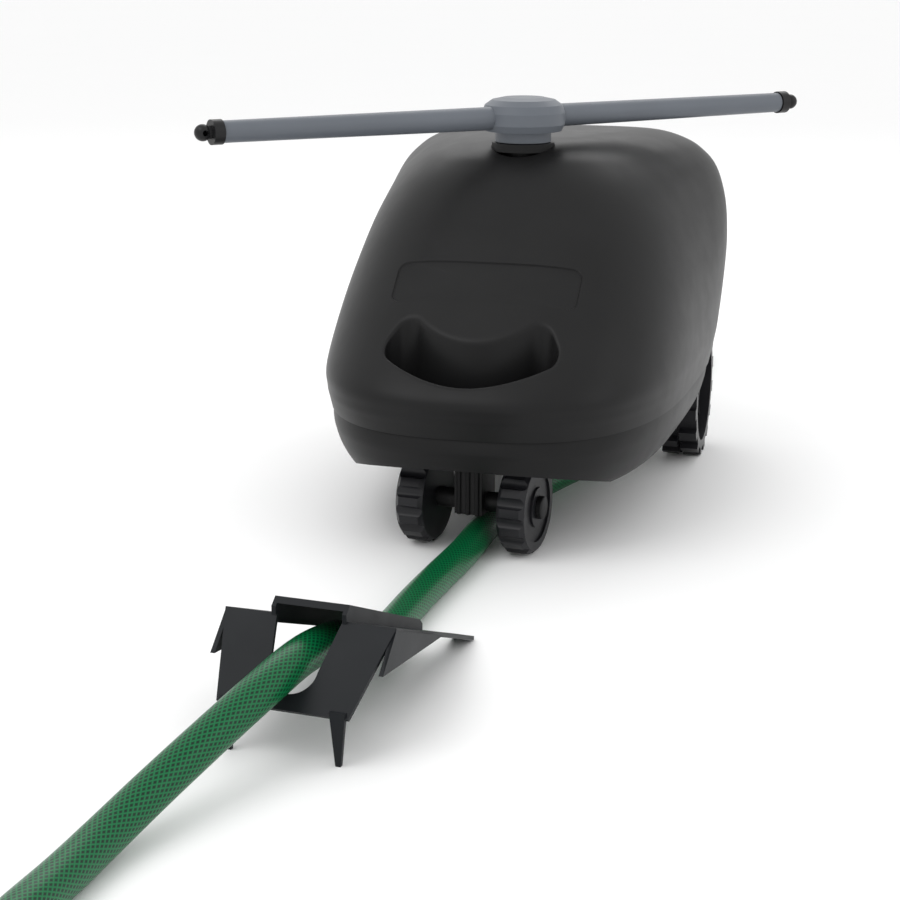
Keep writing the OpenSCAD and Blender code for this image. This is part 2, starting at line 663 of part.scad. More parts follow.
// Each crest faces a gap between two teeth, so the pairs mesh at rest
module arm_stem() color([0.6, 0.6, 0.55]) place() translate([0, hub_y, 0]) difference() {
    union() {
        translate([0, 0, plate_z]) cylinder(h = shaft_z - plate_z, d = foot_pin_d);
        translate([0, 0, shaft_z]) worm(0);
        translate([0, 0, shaft_z]) cylinder(h = stem_top - shaft_z, d = stem_d);
    }
    translate([0, 0, flow_z]) cylinder(h = body_top, d = stem_bore);
    translate([0, 0, flow_z]) along_x(2 * stem_d, stem_bore);
}
module shaft_worm_wheel() color([0.85, 0.83, 0.75]) place()
    translate([shaft_x, hub_y, shaft_z]) rotate([90, 0, 0]) worm_wheel(first_teeth, shaft_d);
module drive_shaft() color([0.6, 0.6, 0.55]) place() translate([shaft_x, 0, shaft_z]) {
    translate([0, hub_y - gear_w, 0]) along_y(wheel_base - hub_y + gear_w + worm_len / 2, shaft_d);
    translate([0, wheel_base, 0]) rotate([90, 0, 0]) worm(270);
}
module axle_worm_wheel() color([0.85, 0.83, 0.75]) place()
    translate([shaft_x, wheel_base, rear_r]) rotate([0, 90, 0]) worm_wheel(last_teeth, axle_d);

// Spray arm
module arm_frame() {
    place() translate([0, hub_y, arm_z]) rotate([0, 0, arm_turn]) children();
}
socket_deep = 12;
// Share of the hub's height that lies under the arm's middle
hub_under_share = 0.4;
hub_foot = -hub_h * hub_under_share;
stem_in = 6;
stem_top = arm_z + hub_foot + stem_in;
// Hub outline: shares of its radius and of its height from the foot
hub_shares = [[0, 0], [0.92, 0], [1, 0.2], [1, 0.55], [0.93, 0.78], [0.76, 0.93], [0.5, 1], [0, 1]];
arm_socket_r = hub_d / 2 - socket_deep;
module arm_hub() color([0.4, 0.42, 0.45]) arm_frame() difference() {
    union() {
        rotate_extrude() polygon([for (k = hub_shares) [k[0] * hub_d / 2, hub_foot + k[1] * hub_h]]);
        translate([0, 0, ring_z + move_gap - arm_z])
            cylinder(h = arm_z - ring_z - move_gap, d = neck_d);
    }
    translate([0, 0, -arm_z]) cylinder(h = stem_top, d = stem_d);
    translate([0, 0, hub_foot]) cylinder(h = -hub_foot, d = stem_bore);
    for (s = [0, 180]) rotate([0, -arm_rise, s]) rotate([0, 90, 0])
        translate([0, 0, arm_socket_r]) cylinder(h = hub_d, d = tube_root_d);
    along_x(2 * arm_socket_r + over, stem_bore);
}
module arm_tube(turn) arm_frame() rotate([0, -arm_rise, turn]) rotate([0, 90, 0])
    translate([0, 0, arm_socket_r]) difference() {
        union() {
            cylinder(h = socket_deep, d = tube_root_d);
            translate([0, 0, socket_deep])
                cylinder(h = arm_r - arm_socket_r - socket_deep, d1 = tube_root_d, d2 = tube_tip_d);
        }
        translate([0, 0, -over]) cylinder(h = arm_r, d = tube_bore);
    }
module arm_left() color([0.4, 0.42, 0.45]) arm_tube(180);
module arm_right() color([0.4, 0.42, 0.45]) arm_tube(0);
spigot_len = 14;
neck_len = 2.5;
nozzle_neck_d = 9;
module nozzle(turn) arm_frame() rotate([0, -arm_rise, turn]) rotate([0, 90, 0])
    translate([0, 0, arm_r]) difference() {
        union() {
            translate([0, 0, -spigot_len]) cylinder(h = spigot_len + move_gap, d = tube_bore - 2 * run_gap);
            translate([0, 0, move_gap]) cylinder(h = collar_len, d = collar_d);
            translate([0, 0, collar_len]) cylinder(h = neck_len + tip_d / 2, d = nozzle_neck_d);
            translate([0, 0, collar_len + neck_len + tip_d / 3]) sphere(d = tip_d);
        }
        translate([0, 0, -spigot_len - over])
            cylinder(h = spigot_len + collar_len + neck_len + tip_d / 3 + over, d = jet_d);
        // Jet to the side, which drives the arm round
        translate([0, 0, collar_len + neck_len + tip_d / 3]) rotate([-90, 0, 0]) cylinder(h = tip_d, d = jet_d);
    }
module nozzle_left() color([0.08, 0.08, 0.08]) nozzle(180);
module nozzle_right() color([0.08, 0.08, 0.08]) nozzle(0);

// Shut-off ramp, drawn from the middle of its spikes' tips
module ramp_place() {
    place() translate([-ramp_x, -ramp_y, 0]) rotate([0, 0, -ramp_turn]) children();
}
face_angle = atan((crest_z - foot_z) / crest_y);
face_len = (crest_z - foot_z) / sin(face_angle);
tail_angle = atan((crest_z - sheet) / tail_len);
track_len = tail_len / cos(tail_angle);
foot_bar = 9;
hood_w = slot_w + 2 * sheet;
tail_tip_share = 0.45;
gusset_share = 0.48;
module face_plan() difference() {
    polygon([[-ramp_foot_w / 2, 0], [ramp_foot_w / 2, 0], [ramp_w / 2, face_len], [-ramp_w / 2, face_len]]);
    polygon([[-slot_foot_w / 2, foot_bar + slot_foot_w / 2], [slot_foot_w / 2, foot_bar + slot_foot_w / 2],
        [slot_w / 2, face_len + over], [-slot_w / 2, face_len + over]]);
    translate([0, foot_bar + slot_foot_w / 2]) circle(d = slot_foot_w);
}
module track_plan(s) polygon([[s * slot_w / 2, 0], [s * ramp_w / 2, 0],
    [s * (slot_w / 2 + (ramp_w - slot_w) / 2 * (1 + tail_tip_share) / 2), track_len],
    [s * (slot_w / 2 + (ramp_w - slot_w) / 2 * (1 - tail_tip_share) / 2), track_len]]);
module shut_off_ramp() color([0.2, 0.21, 0.23]) ramp_place() {
    hood_drop = hood_len * tan(tail_angle);
    // Inclined front plate
    rotate([face_angle, 0, 0]) translate([0, foot_z * sin(face_angle), foot_z * cos(face_angle) - sheet])
        linear_extrude(sheet) face_plan();
    translate([0, crest_y, crest_z]) {
        // Two tracks run down to the tail tips
        rotate([-tail_angle, 0, 0]) translate([0, 0, -sheet]) linear_extrude(sheet)
            for (s = [-1, 1]) track_plan(s);
        // Hood over the hose, as steep as the tracks
        difference() {
            rotate([90, 0, 90]) translate([0, 0, -hood_w / 2]) linear_extrude(hood_w)
                polygon([[-sheet / 2, -2 * sheet], [-sheet / 2, hood_h / 2], [hood_h / 2, hood_h],
                    [hood_len - hood_h / 2, hood_h - hood_drop], [hood_len, hood_h / 2 - hood_drop],
                    [hood_len, -2 * sheet - hood_drop]]);
            rotate([90, 0, 90]) translate([0, 0, -slot_w / 2]) linear_extrude(slot_w)
                polygon([[-2 * sheet, -4 * sheet], [-2 * sheet, hood_h - sheet + 2 * sheet * tan(tail_angle)],
                    [hood_len + sheet, hood_h - sheet - hood_drop - sheet * tan(tail_angle)],
                    [hood_len + sheet, -4 * sheet - hood_drop]]);
        }
    }
    // Side gussets between plate and tracks
    for (s = [-1, 1]) translate([s * (ramp_w / 2 - sheet / 2), crest_y, crest_z]) rotate([90, 0, 90])
        translate([0, 0, -sheet / 2]) linear_extrude(sheet) polygon([[0, -sheet / 2],
            [-crest_y * (1 - gusset_share), -(crest_z - foot_z) * (1 - gusset_share)],
            [tail_len * gusset_share, -tail_len * gusset_share * tan(tail_angle) - sheet / 2]]);
    // Spikes under the foot
    for (s = [-1, 1]) translate([s * spike_gap / 2, 0, 0]) rotate([90, 0, 0])
        translate([0, 0, -sheet]) linear_extrude(sheet) polygon([[-spike_w / 6, 0], [spike_w / 6, 0],
            [spike_w / 2, foot_z + sheet], [-spike_w / 2, foot_z + sheet]]);
}

// Garden hose. Points are chosen by hand, from the front axle
hose_r = hose_d / 2;
run_points = [[-55.5, -612, 15.5], [-57, -585, 14.5], [-57.5, -550, 12], [-56, -515, 10.5], [-52, -480, 13],
    [-43, -445, 21], [-29, -405, 33], [-17, -368, 42.5], [-10.5, -335, 46], [-7, -305, 43], [-5, -275, 35],
    [-3.5, -245, 22.5], [-2.5, -215, 13], [-2.5, -185, 10.5], [-1.5, -145, 10.5], [1, -100, 10.5], [4.5, -50, 10.5],
    [5, 0, 10.5], [6, 50, 10.5], [13, 95, 10.5], [27, 140, 10.5], [41, 185, 10.5], [50, 235, 10.5],
    [55, 290, 10.5], [60, 345, 10.5], [66, 400, 10.5], [71, 450, 10.5], [74, 500, 10.5], [75, 545, 10.5], [75, 574, 10.5]];
tail_points = [[-34, 372, 83], [-34, 393, 83], [-39, 423, 81], [-53, 449, 76], [-75, 469, 68],
    [-103.5, 479.5, 58], [-132, 490, 47.5], [-154, 510, 39.5], [-168, 536, 34.5], [-173, 566, 32.5],
    [-173, 574, 32.5]];
coil_x = -49;
coil_y = 595;
function unit(v) = v / norm(v);
function heading(p, i) = unit(p[min(i + 1, len(p) - 1)] - p[max(i - 1, 0)]);
function hose_ring(p, i, sides) = let (t = heading(p, i), e = unit(cross([0, 0, 1], t)), u = cross(t, e))
    [for (k = [0:sides - 1]) p[i] + hose_r * (cos(360 * k / sides) * e + sin(360 * k / sides) * u)];
module hose_along(p, sides) skin([for (i = [0:len(p) - 1]) hose_ring(p, i, sides)]);

module hose_run() color([0, 0.43, 0.2]) place() hose_along(run_points, hose_sides);
module hose_tail() color([0, 0.43, 0.2]) place() hose_along(tail_points, hose_sides);
// The coil winds in on its lower layer, climbs where the spiral turns, and winds out on the upper one
loop_rings = 24;
half_turn = 180;
function ease(t) = t * t * (3 - 2 * t);
function coil_point(a) = let (all = 360 * coil_turns, left = min(a, all - a),
    r = coil_outer - coil_step * left / 360, climb = (a - (all - half_turn) / 2) / half_turn)
    [coil_x + r * cos(a), coil_y + r * sin(a), hose_r + coil_step * ease(max(0, min(1, climb)))];
// Both ends run straight for one hose diameter
coil_lead = [0, hose_d, 0];
coil_path = [coil_point(0) - coil_lead, for (i = [0:loop_rings * coil_turns]) coil_point(360 * i / loop_rings),
    coil_point(360 * coil_turns) - coil_lead];
module hose_coil() color([0, 0.43, 0.2]) place() hose_along(coil_path, hose_sides);

// Swivel nut on the inlet, and the coupling at the tap's end
nut_lap = 10;
nut_back = 27.5;
nut_len = nut_lap + washer_t + nut_back;
nut_out_d = 31;
grip_flutes = 14;
flute_d = 3;
module hose_nut() color([0.75, 0.6, 0.3]) place() translate([-line_x, inlet_end - nut_lap, inlet_z]) difference() {
    along_y(nut_len, nut_out_d);
    translate([0, -over, 0]) along_y(nut_lap + washer_t + over, inlet_d + 2 * run_gap);
    along_y(nut_len - hose_wall, tube_bore);
    for (i = [0:grip_flutes - 1]) rotate([0, 360 * i / grip_flutes, 0])
        translate([0, -over, nut_out_d / 2 + flute_d / 6]) along_y(nut_len / 2 + over, flute_d);
}
hose_wall = 2.5;
tap_len = 40;
module tap_connector() color([0.75, 0.6, 0.3]) place() {
    end = run_points[0];
    out = -heading(run_points, 0);
    translate(end) rotate([0, 0, atan2(out[1], out[0])]) rotate([0, 90 - asin(out[2]), 0]) difference() {
        cylinder(h = tap_len, d = nut_out_d);
        translate([0, 0, tap_len / 2]) cylinder(h = tap_len, d = inlet_d);
        translate([0, 0, hose_wall]) cylinder(h = tap_len, d = tube_bore);
        for (i = [0:grip_flutes - 1]) rotate(360 * i / grip_flutes)
            translate([nut_out_d / 2 + flute_d / 6, 0, tap_len / 3]) cylinder(h = tap_len, d = flute_d);
    }
}

cover();
base_shell();
tail_panel();
chassis_plate();
axle_bearings();
shaft_bearings();
stem_housing();
flow_tube();
valve_body();
inlet_spigot();
inlet_washer();
chassis_screws();
trip_bracket();
steering_yoke();
front_axle();
axle_caps();
front_wheel_left();
front_wheel_right();
rear_axle();
rear_wheel_left();
rear_wheel_right();
wheel_nuts();
axle_worm_wheel();
drive_shaft();
shaft_worm_wheel();
arm_stem();
stem_seal();
arm_hub();
arm_left();
arm_right();
nozzle_left();
nozzle_right();
trip_lever();
push_rod();
shut_off_ramp();
hose_nut();
hose_tail();
hose_coil();
hose_run();
tap_connector();
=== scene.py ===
"""Looks of the travelling sprinkler: skins, braided hose, finishes, light and camera. Metres, +Z up."""
import json
import math

import bmesh
import bpy
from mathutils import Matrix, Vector
from mathutils.bvhtree import BVHTree


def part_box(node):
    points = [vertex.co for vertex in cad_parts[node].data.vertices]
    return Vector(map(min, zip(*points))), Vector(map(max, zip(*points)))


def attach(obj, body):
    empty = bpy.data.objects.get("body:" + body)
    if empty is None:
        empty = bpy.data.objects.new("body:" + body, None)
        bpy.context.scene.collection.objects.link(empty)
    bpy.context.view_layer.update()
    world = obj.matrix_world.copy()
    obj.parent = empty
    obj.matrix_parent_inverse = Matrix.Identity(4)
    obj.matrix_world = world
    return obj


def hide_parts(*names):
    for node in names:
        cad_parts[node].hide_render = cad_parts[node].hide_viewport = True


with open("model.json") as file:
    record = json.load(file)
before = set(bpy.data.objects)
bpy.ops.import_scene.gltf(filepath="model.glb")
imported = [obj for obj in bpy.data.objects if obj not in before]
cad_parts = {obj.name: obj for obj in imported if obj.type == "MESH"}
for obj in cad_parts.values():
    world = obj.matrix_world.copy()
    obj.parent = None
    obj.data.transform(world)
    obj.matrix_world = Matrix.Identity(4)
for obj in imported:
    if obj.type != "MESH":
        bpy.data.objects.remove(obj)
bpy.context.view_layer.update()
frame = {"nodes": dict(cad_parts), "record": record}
nodes = frame["nodes"]
MM = 0.001
UP = Vector((0, 0, 1))

# Places read from the frame
AXLE_LOW, AXLE_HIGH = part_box("front_axle")
AXLE_Y = (AXLE_LOW.y + AXLE_HIGH.y) / 2
HUB_LOW, HUB_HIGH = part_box("arm_hub")
HUB_Y = (HUB_LOW.y + HUB_HIGH.y) / 2
COVER_LOW, COVER_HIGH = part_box("cover")
SEAM_Z, TOP_Z = COVER_LOW.z, COVER_HIGH.z
NOSE_Y, TAIL_Y = COVER_LOW.y, COVER_HIGH.y
BODY_LEN = TAIL_Y - NOSE_Y
BODY_H = TOP_Z - SEAM_Z
BASE_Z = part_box("base_shell")[0].z
BASE_H = SEAM_Z - BASE_Z
WHEEL_LOW, WHEEL_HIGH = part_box("rear_wheel_right")
REAR_Y = (WHEEL_LOW.y + WHEEL_HIGH.y) / 2
REAR_R = (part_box("rear_axle")[0].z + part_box("rear_axle")[1].z) / 2
INLET_LOW, INLET_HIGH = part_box("inlet_washer")

# Sizes of the moulded skins, most of them as on the solids that they stand for
NOSE_HALF = 122 * MM
TAIL_HALF = 152 * MM
WALL = 3 * MM
HUB_HOLE_R = 23.4 * MM
INLET_GAP = 0.3 * MM
# Arches over the wheels, and the mouth of the front one
ARCH_HALF = 59 * MM
ARCH_Z = 66 * MM
ARCH_POWER = 4
MOUTH_HALF = 50 * MM
FRONT_R = 33 * MM
WHEEL_CLEAR = 6 * MM
# Edge under the nose, higher than the solid's: its height there, and how far behind the axle it comes down
CHIN_Z = 68 * MM
CHIN_LEN = 25 * MM
# Domes on the ends of the front axle: their height, and how near to the caps' faces a point counts as on them
DOME_H = 1.5 * MM
FACE_NEAR = 0.01 * MM
# Hand pocket
POCKET_R = 92 * MM
POCKET_W = 27 * MM
POCKET_LIP = 40 * MM
POCKET_HALF_ANGLE = math.radians(45)
POCKET_ROUND = 11 * MM
POCKET_FLOOR = 100 * MM
POCKET_WALL_SHARES = (0.33, 0.66, 1)
POCKET_FOOT_ANGLES = (30, 60, 90)
RIM = 3 * MM
# Shallow panel, and the shares of it at which its cutter's floor and lid have rings
PANEL_W, PANEL_LEN = 130 * MM, 34 * MM
PANEL_ROUND = 7 * MM
PANEL_DEEP = 1 * MM
PANEL_DRAFT = 1.02
PANEL_Y_SHARE = 0.2
PANEL_RING_SHARES = (0.02, 0.3, 0.6)
# Height from which rays fall on the cover
RAY_Z = 1.0

# The hose's route, from the front axle
HOSE_R = 10.5 * MM
RUN_MM = [(-55.5, -612, 15.5), (-57, -585, 14.5), (-57.5, -550, 12), (-56, -515, 10.5), (-52, -480, 13),
          (-43, -445, 21), (-29, -405, 33), (-17, -368, 42.5), (-10.5, -335, 46), (-7, -305, 43),
          (-5, -275, 35), (-3.5, -245, 22.5), (-2.5, -215, 13), (-2.5, -185, 10.5), (-1.5, -145, 10.5),
          (1, -100, 10.5), (4.5, -50, 10.5), (5, 0, 10.5), (6, 50, 10.5), (13, 95, 10.5), (27, 140, 10.5),
          (41, 185, 10.5), (50, 235, 10.5), (55, 290, 10.5), (60, 345, 10.5), (66, 400, 10.5),
          (71, 450, 10.5), (74, 500, 10.5), (75, 545, 10.5), (75, 574, 10.5)]
TAIL_MM = [(-34, 372, 83), (-34, 393, 83), (-39, 423, 81), (-53, 449, 76), (-75, 469, 68),
           (-103.5, 479.5, 58), (-132, 490, 47.5), (-154, 510, 39.5), (-168, 536, 34.5), (-173, 566, 32.5),
           (-173, 574, 32.5)]
COIL_X, COIL_Y = -49 * MM, 595 * MM
COIL_R = 124 * MM
COIL_STEP = 22 * MM
COIL_TURNS = 2.5

# Rows of shares for the cover, seam to crown: height, nose set-back, tail set-back, widths at nose and tail
COVER_SHARES = [(0, 0.010, 0, 1, 0.905), (0.045, 0.004, 0, 1.002, 0.918), (0.09, 0.001, 0, 1.005, 0.93),
                (0.17, 0.012, 0, 1, 0.95), (0.35, 0.105, 0, 0.95, 0.98), (0.52, 0.197, 0, 0.88, 1),
                (0.69, 0.287, 0.002, 0.79, 0.99), (0.83, 0.362, 0.01, 0.67, 0.94),
                (0.91, 0.41, 0.022, 0.56, 0.85), (0.955, 0.446, 0.04, 0.47, 0.75),
                (0.985, 0.5, 0.072, 0.36, 0.63), (1, 0.6, 0.13, 0.25, 0.48)]
# The rows between which the slope with the panel runs
SLOPE_LOW, SLOPE_HIGH = 4, 6
# Rings on the cover's flat top, as shares of its last row
CROWN_SHARES = (0.85, 0.7, 0.5, 0.3, 0.1)
# Rows of shares for the base, seam to bottom edge: depth, inset
BASE_SHARES = [(0, 0.03), (0.2, 0.045), (0.55, 0.14), (0.85, 0.3), (1, 0.46)]
# Share of the base's depth over which its nose comes forward from the seam's set-back
TUCK_SHARE = 0.25
# Squareness of the outline at the nose, at the crown and at the tail
NOSE_POWER, CROWN_POWER, TAIL_POWER = 2.8, 4.2, 4

# Steps that curves are cut into, and sides of round forms
COVER_STEPS, BASE_STEPS = 5, 6
OUTLINE_SIDES = 160
ROUND_SIDES, INLET_SIDES, HOSE_SIDES = 96, 48, 32
ARCH_STEPS = 48
LIP_STEPS, BACK_STEPS, CORNER_STEPS = 60, 44, 12
RIM_STEPS = 6
PANEL_CORNER_STEPS, PANEL_EDGE_STEPS = 8, 12
# A dome has this many rings, and would close to a point just past the last
DOME_SIDES, DOME_RINGS, DOME_CLOSE = 40, 8, 7.2
ROUTE_STEPS, LOOP_RINGS = 4, 24

# Angles in degrees above which an edge stays sharp
SKIN_SHARP, DOME_SHARP, ROUND_SHARP = 35, 50, 60
# Softened edges on the solids that stay
WHEEL_EDGE, SOLID_EDGE = 0.5 * MM, 0.3 * MM
EDGE_ANGLE = math.radians(40)
EDGE_SEGMENTS = 2

# Moulded plastic: scales of its patterns in repeats per metre, their detail, and how strongly they show
MOTTLE_SCALE, MOTTLE_DETAIL = 18, 4
GLOSS_SCALE, GLOSS_DETAIL, GLOSS_SPREAD = 60, 5, 0.05
GRAIN_SCALE, WHEEL_GRAIN_SCALE, GRAIN_DETAIL = 2200, 1500, 2
GRAIN_STRENGTH, GRAIN_DEEP = 0.25, 0.04 * MM
# Metal: the same for its turned marks
TURNED_SCALE, TURNED_DETAIL = 240, 4
TURNED_SMOOTHER, TURNED_ROUGHER = 0.06, 0.1
MARK_SCALE, MARK_DETAIL, MARK_STRENGTH, MARK_DEEP = 1500, 2, 0.2, 0.02 * MM
# Braided hose: yarns each way, the length of one turn of a yarn, and its finish
YARNS = 25
YARN_PITCH = 115 * MM
YARN_POWER = 2.2
YARN_STRENGTH, YARN_DEEP = 0.35, 0.2 * MM
VINYL_GREEN, VINYL_ROUGH = (0, 0.2, 0.06), 0.32
GAP_GREEN, YARN_GREEN = (0.0, 0.014, 0.007), (0.001, 0.15, 0.045)
COAT_WEIGHT, COAT_ROUGH, VINYL_SHINE = 0.12, 0.22, 0.22
VINYL_SCALE, VINYL_DETAIL, VINYL_SMOOTHER, VINYL_ROUGHER = 80, 3, 0.3, 0.42

# Stage: the floor's half width and its greys, and soft lights as name, place, size and power
FLOOR_REACH = 30
FLOOR_GREY, FLOOR_DARK, FLOOR_LIGHT = (0.96,) * 3, (0.955,) * 3, (0.965,) * 3
FLOOR_ROUGH, FLOOR_SCALE = 0.8, 3
WORLD_WHITE, WORLD_STRENGTH = (1, 1, 1, 1), 1.0
LIGHT_AIM = (0, AXLE_Y + 0.1, 0.12)
SOFTBOXES = [("key", (-0.9, -1.0, 1.9), (1.4, 1.0), 10), ("right", (1.9, -0.2, 1.1), (1.0, 1.4), 3),
             ("back", (-0.3, 1.7, 1.6), (1.8, 0.8), 8)]
# Camera: its place from the front axle's middle on the floor, its turn, and its lens in millimetres
CAMERA_X, CAMERA_Y, CAMERA_Z = 0.2899, -1.1487, 0.4019
CAMERA_TILT, CAMERA_TURN = math.radians(74.3), math.radians(15)
SENSOR_MM, LENS_MM = 36, 71.2


# Curves and meshes

def through(points, steps):
    """A smooth line through rows of numbers, with that many steps between two rows."""
    rows = [points[0], *points, points[-1]]
    line = []

    def between(t, p, q, r, s):
        return q + t / 2 * (r - p + t * (2 * p - 5 * q + 4 * r - s + t * (3 * (q - r) + s - p)))

    for four in zip(rows, rows[1:], rows[2:], rows[3:]):
        for k in range(steps):
            line.append(tuple(between(k / steps, *numbers) for numbers in zip(*four)))
    line.append(tuple(points[-1]))
    return line


def unit_circle(sides):
    """Pairs of cosine and sine round a circle of radius 1."""
    turns = [2 * math.pi * i / sides for i in range(sides)]
    return [(math.cos(a), math.sin(a)) for a in turns]


def piece(name, verts, faces):
    mesh = bpy.data.meshes.new(name)
    mesh.from_pydata([tuple(v) for v in verts], [], faces)
    mesh.validate()
    obj = bpy.data.objects.new(name, mesh)
    bpy.context.scene.collection.objects.link(obj)
    return obj


def loft(name, rings, closed=False, cap_first=False, cap_last=False):
    """A mesh through rings of equally many points. A closed loft joins its last ring to its first."""
    n = len(rings[0])
    verts = [p for ring in rings for p in ring]
    faces = []
    for k in range(len(rings) - (0 if closed else 1)):
        a, b = k * n, (k + 1) % len(rings) * n
        faces += [(a + i, a + (i + 1) % n, b + (i + 1) % n, b + i) for i in range(n)]
    if cap_first:
        faces.append(tuple(range(n - 1, -1, -1)))
    if cap_last:
        faces.append(tuple(range(len(verts) - n, len(verts))))
    return piece(name, verts, faces)


def capped(name, rings):
    """A loft with a cap on each end."""
    return loft(name, rings, cap_first=True, cap_last=True)


def smooth(obj, degrees=SKIN_SHARP):
    """Smooth shading, with edges sharper than the angle kept."""
    bm = bmesh.new()
    bm.from_mesh(obj.data)
    for face in bm.faces:
        face.smooth = True
    for edge in bm.edges:
        edge.smooth = edge.calc_face_angle(0) < math.radians(degrees)
    bm.to_mesh(obj.data)
    bm.free()


def carve(obj, cutters):
    """Cuts closed meshes out of obj."""
    for cutter in cutters:
        cut = obj.modifiers.new("cut", "BOOLEAN")
        cut.operation = "DIFFERENCE"
        cut.solver = "EXACT"
        cut.object = cutter
    bpy.context.view_layer.update()
    carved = bpy.data.meshes.new_from_object(obj.evaluated_get(bpy.context.evaluated_depsgraph_get()))
    obj.modifiers.clear()
    obj.data = carved
    for cutter in cutters:
        bpy.data.objects.remove(cutter)


def prism(name, plan, low, high):
    """A closed upright prism over a plan of (x, y) points."""
    return capped(name, [[(x, y, z) for x, y in plan] for z in (low, high)])


def drum_x(name, x, y, z, half_len, radius):
    """A closed cylinder along X."""
    ring = unit_circle(ROUND_SIDES)
    return capped(name, [[(x + s * half_len, y + radius * c, z + radius * d) for c, d in ring]
                         for s in (-1, 1)])


# Materials

class Shader:
    """A node material with a Principled surface."""

    def __init__(self, name, color, roughness):
        self.material = bpy.data.materials.new(name)
        self.material.use_nodes = True
        self.tree = self.material.node_tree
        self.surface = self.tree.nodes["Principled BSDF"]
        self.surface.inputs["Base Color"].default_value = (*color, 1)
        self.surface.inputs["Roughness"].default_value = roughness
        self.place = self.add("ShaderNodeTexCoord").outputs["Object"]

    def add(self, kind, **inputs):
        node = self.tree.nodes.new(kind)
        for key, value in inputs.items():
            self.feed(value, node.inputs[key])
        return node

    def feed(self, value, socket):
        """Links another node's output to a socket, or sets the socket's own value."""
        if isinstance(value, bpy.types.NodeSocket):
            self.tree.links.new(value, socket)
        else:
            socket.default_value = value

    def set(self, name, value):
        self.feed(value, self.surface.inputs[name])

    def math(self, operation, a, b=0.0, c=0.0):
        node = self.tree.nodes.new("ShaderNodeMath")
        node.operation = operation
        for value, socket in zip((a, b, c), node.inputs):
            self.feed(value, socket)
        return node.outputs[0]

    def noise(self, scale, detail=3):
        return self.add("ShaderNodeTexNoise", Vector=self.place, Scale=scale, Detail=detail).outputs["Fac"]

    def ramp(self, factor, low, high):
        """Maps a 0 to 1 factor between two numbers or two colours."""
        node = self.tree.nodes.new("ShaderNodeMix")
        # Sockets of the first value and of the result, for numbers and for colours
        first, result = 2, 0
        if isinstance(low, tuple):
            node.data_type = "RGBA"
            first, result = 6, 2
            low, high = (*low, 1), (*high, 1)
        self.feed(factor, node.inputs["Factor"])
        node.inputs[first].default_value = low
        node.inputs[first + 1].default_value = high
        return node.outputs[result]

    def bump(self, height, strength, distance):
        node = self.add("ShaderNodeBump", Height=height, Strength=strength, Distance=distance)
        self.set("Normal", node.outputs["Normal"])


def moulded(name, color, roughness, grain=GRAIN_SCALE, vary=0.25, shine=0.24):
    """Moulded plastic: fine grain, faint flow mottling, and gloss that wanders a little."""
    s = Shader(name, color, roughness)
    light = tuple(c * (1 + vary) for c in color)
    dark = tuple(c * (1 - vary) for c in color)
    s.set("Base Color", s.ramp(s.noise(MOTTLE_SCALE, MOTTLE_DETAIL), dark, light))
    gloss = s.noise(GLOSS_SCALE, GLOSS_DETAIL)
    s.set("Roughness", s.ramp(gloss, roughness - GLOSS_SPREAD, roughness + GLOSS_SPREAD))
    s.set("Specular IOR Level", shine)
    s.bump(s.noise(grain, GRAIN_DETAIL), GRAIN_STRENGTH, GRAIN_DEEP)
    return s.material


def metal(name, color, roughness):
    """Bright metal with fine turned marks."""
    s = Shader(name, color, roughness)
    s.set("Metallic", 1)
    turned = s.noise(TURNED_SCALE, TURNED_DETAIL)
    s.set("Roughness", s.ramp(turned, roughness - TURNED_SMOOTHER, roughness + TURNED_ROUGHER))
    s.bump(s.noise(MARK_SCALE, MARK_DETAIL), MARK_STRENGTH, MARK_DEEP)
    return s.material


def braided():
    """Vinyl hose with a diamond net of yarn under a clear skin. U runs round the hose and V along it."""
    s = Shader("braided_vinyl", VINYL_GREEN, VINYL_ROUGH)
    split = s.add("ShaderNodeSeparateXYZ", Vector=s.add("ShaderNodeUVMap").outputs["UV"])
    u, v = split.outputs["X"], split.outputs["Y"]
    waves = []
    for side in (1, -1):
        turn = s.math("MULTIPLY", v, side / YARN_PITCH)
        phase = s.math("MULTIPLY", s.math("ADD", u, turn), YARNS * 2 * math.pi)
        # The sine, from -1 to 1, becomes a wave from 0 to 1
        waves.append(s.math("MULTIPLY_ADD", s.math("SINE", phase), 0.5, 0.5))
    yarn = s.math("POWER", s.math("MAXIMUM", *waves), YARN_POWER)
    s.set("Base Color", s.ramp(yarn, GAP_GREEN, YARN_GREEN))
    s.set("Coat Weight", COAT_WEIGHT)
    s.set("Coat Roughness", COAT_ROUGH)
    s.set("Specular IOR Level", VINYL_SHINE)
    s.set("Roughness", s.ramp(s.noise(VINYL_SCALE, VINYL_DETAIL), VINYL_SMOOTHER, VINYL_ROUGHER))
    s.bump(yarn, YARN_STRENGTH, YARN_DEEP)
    return s.material


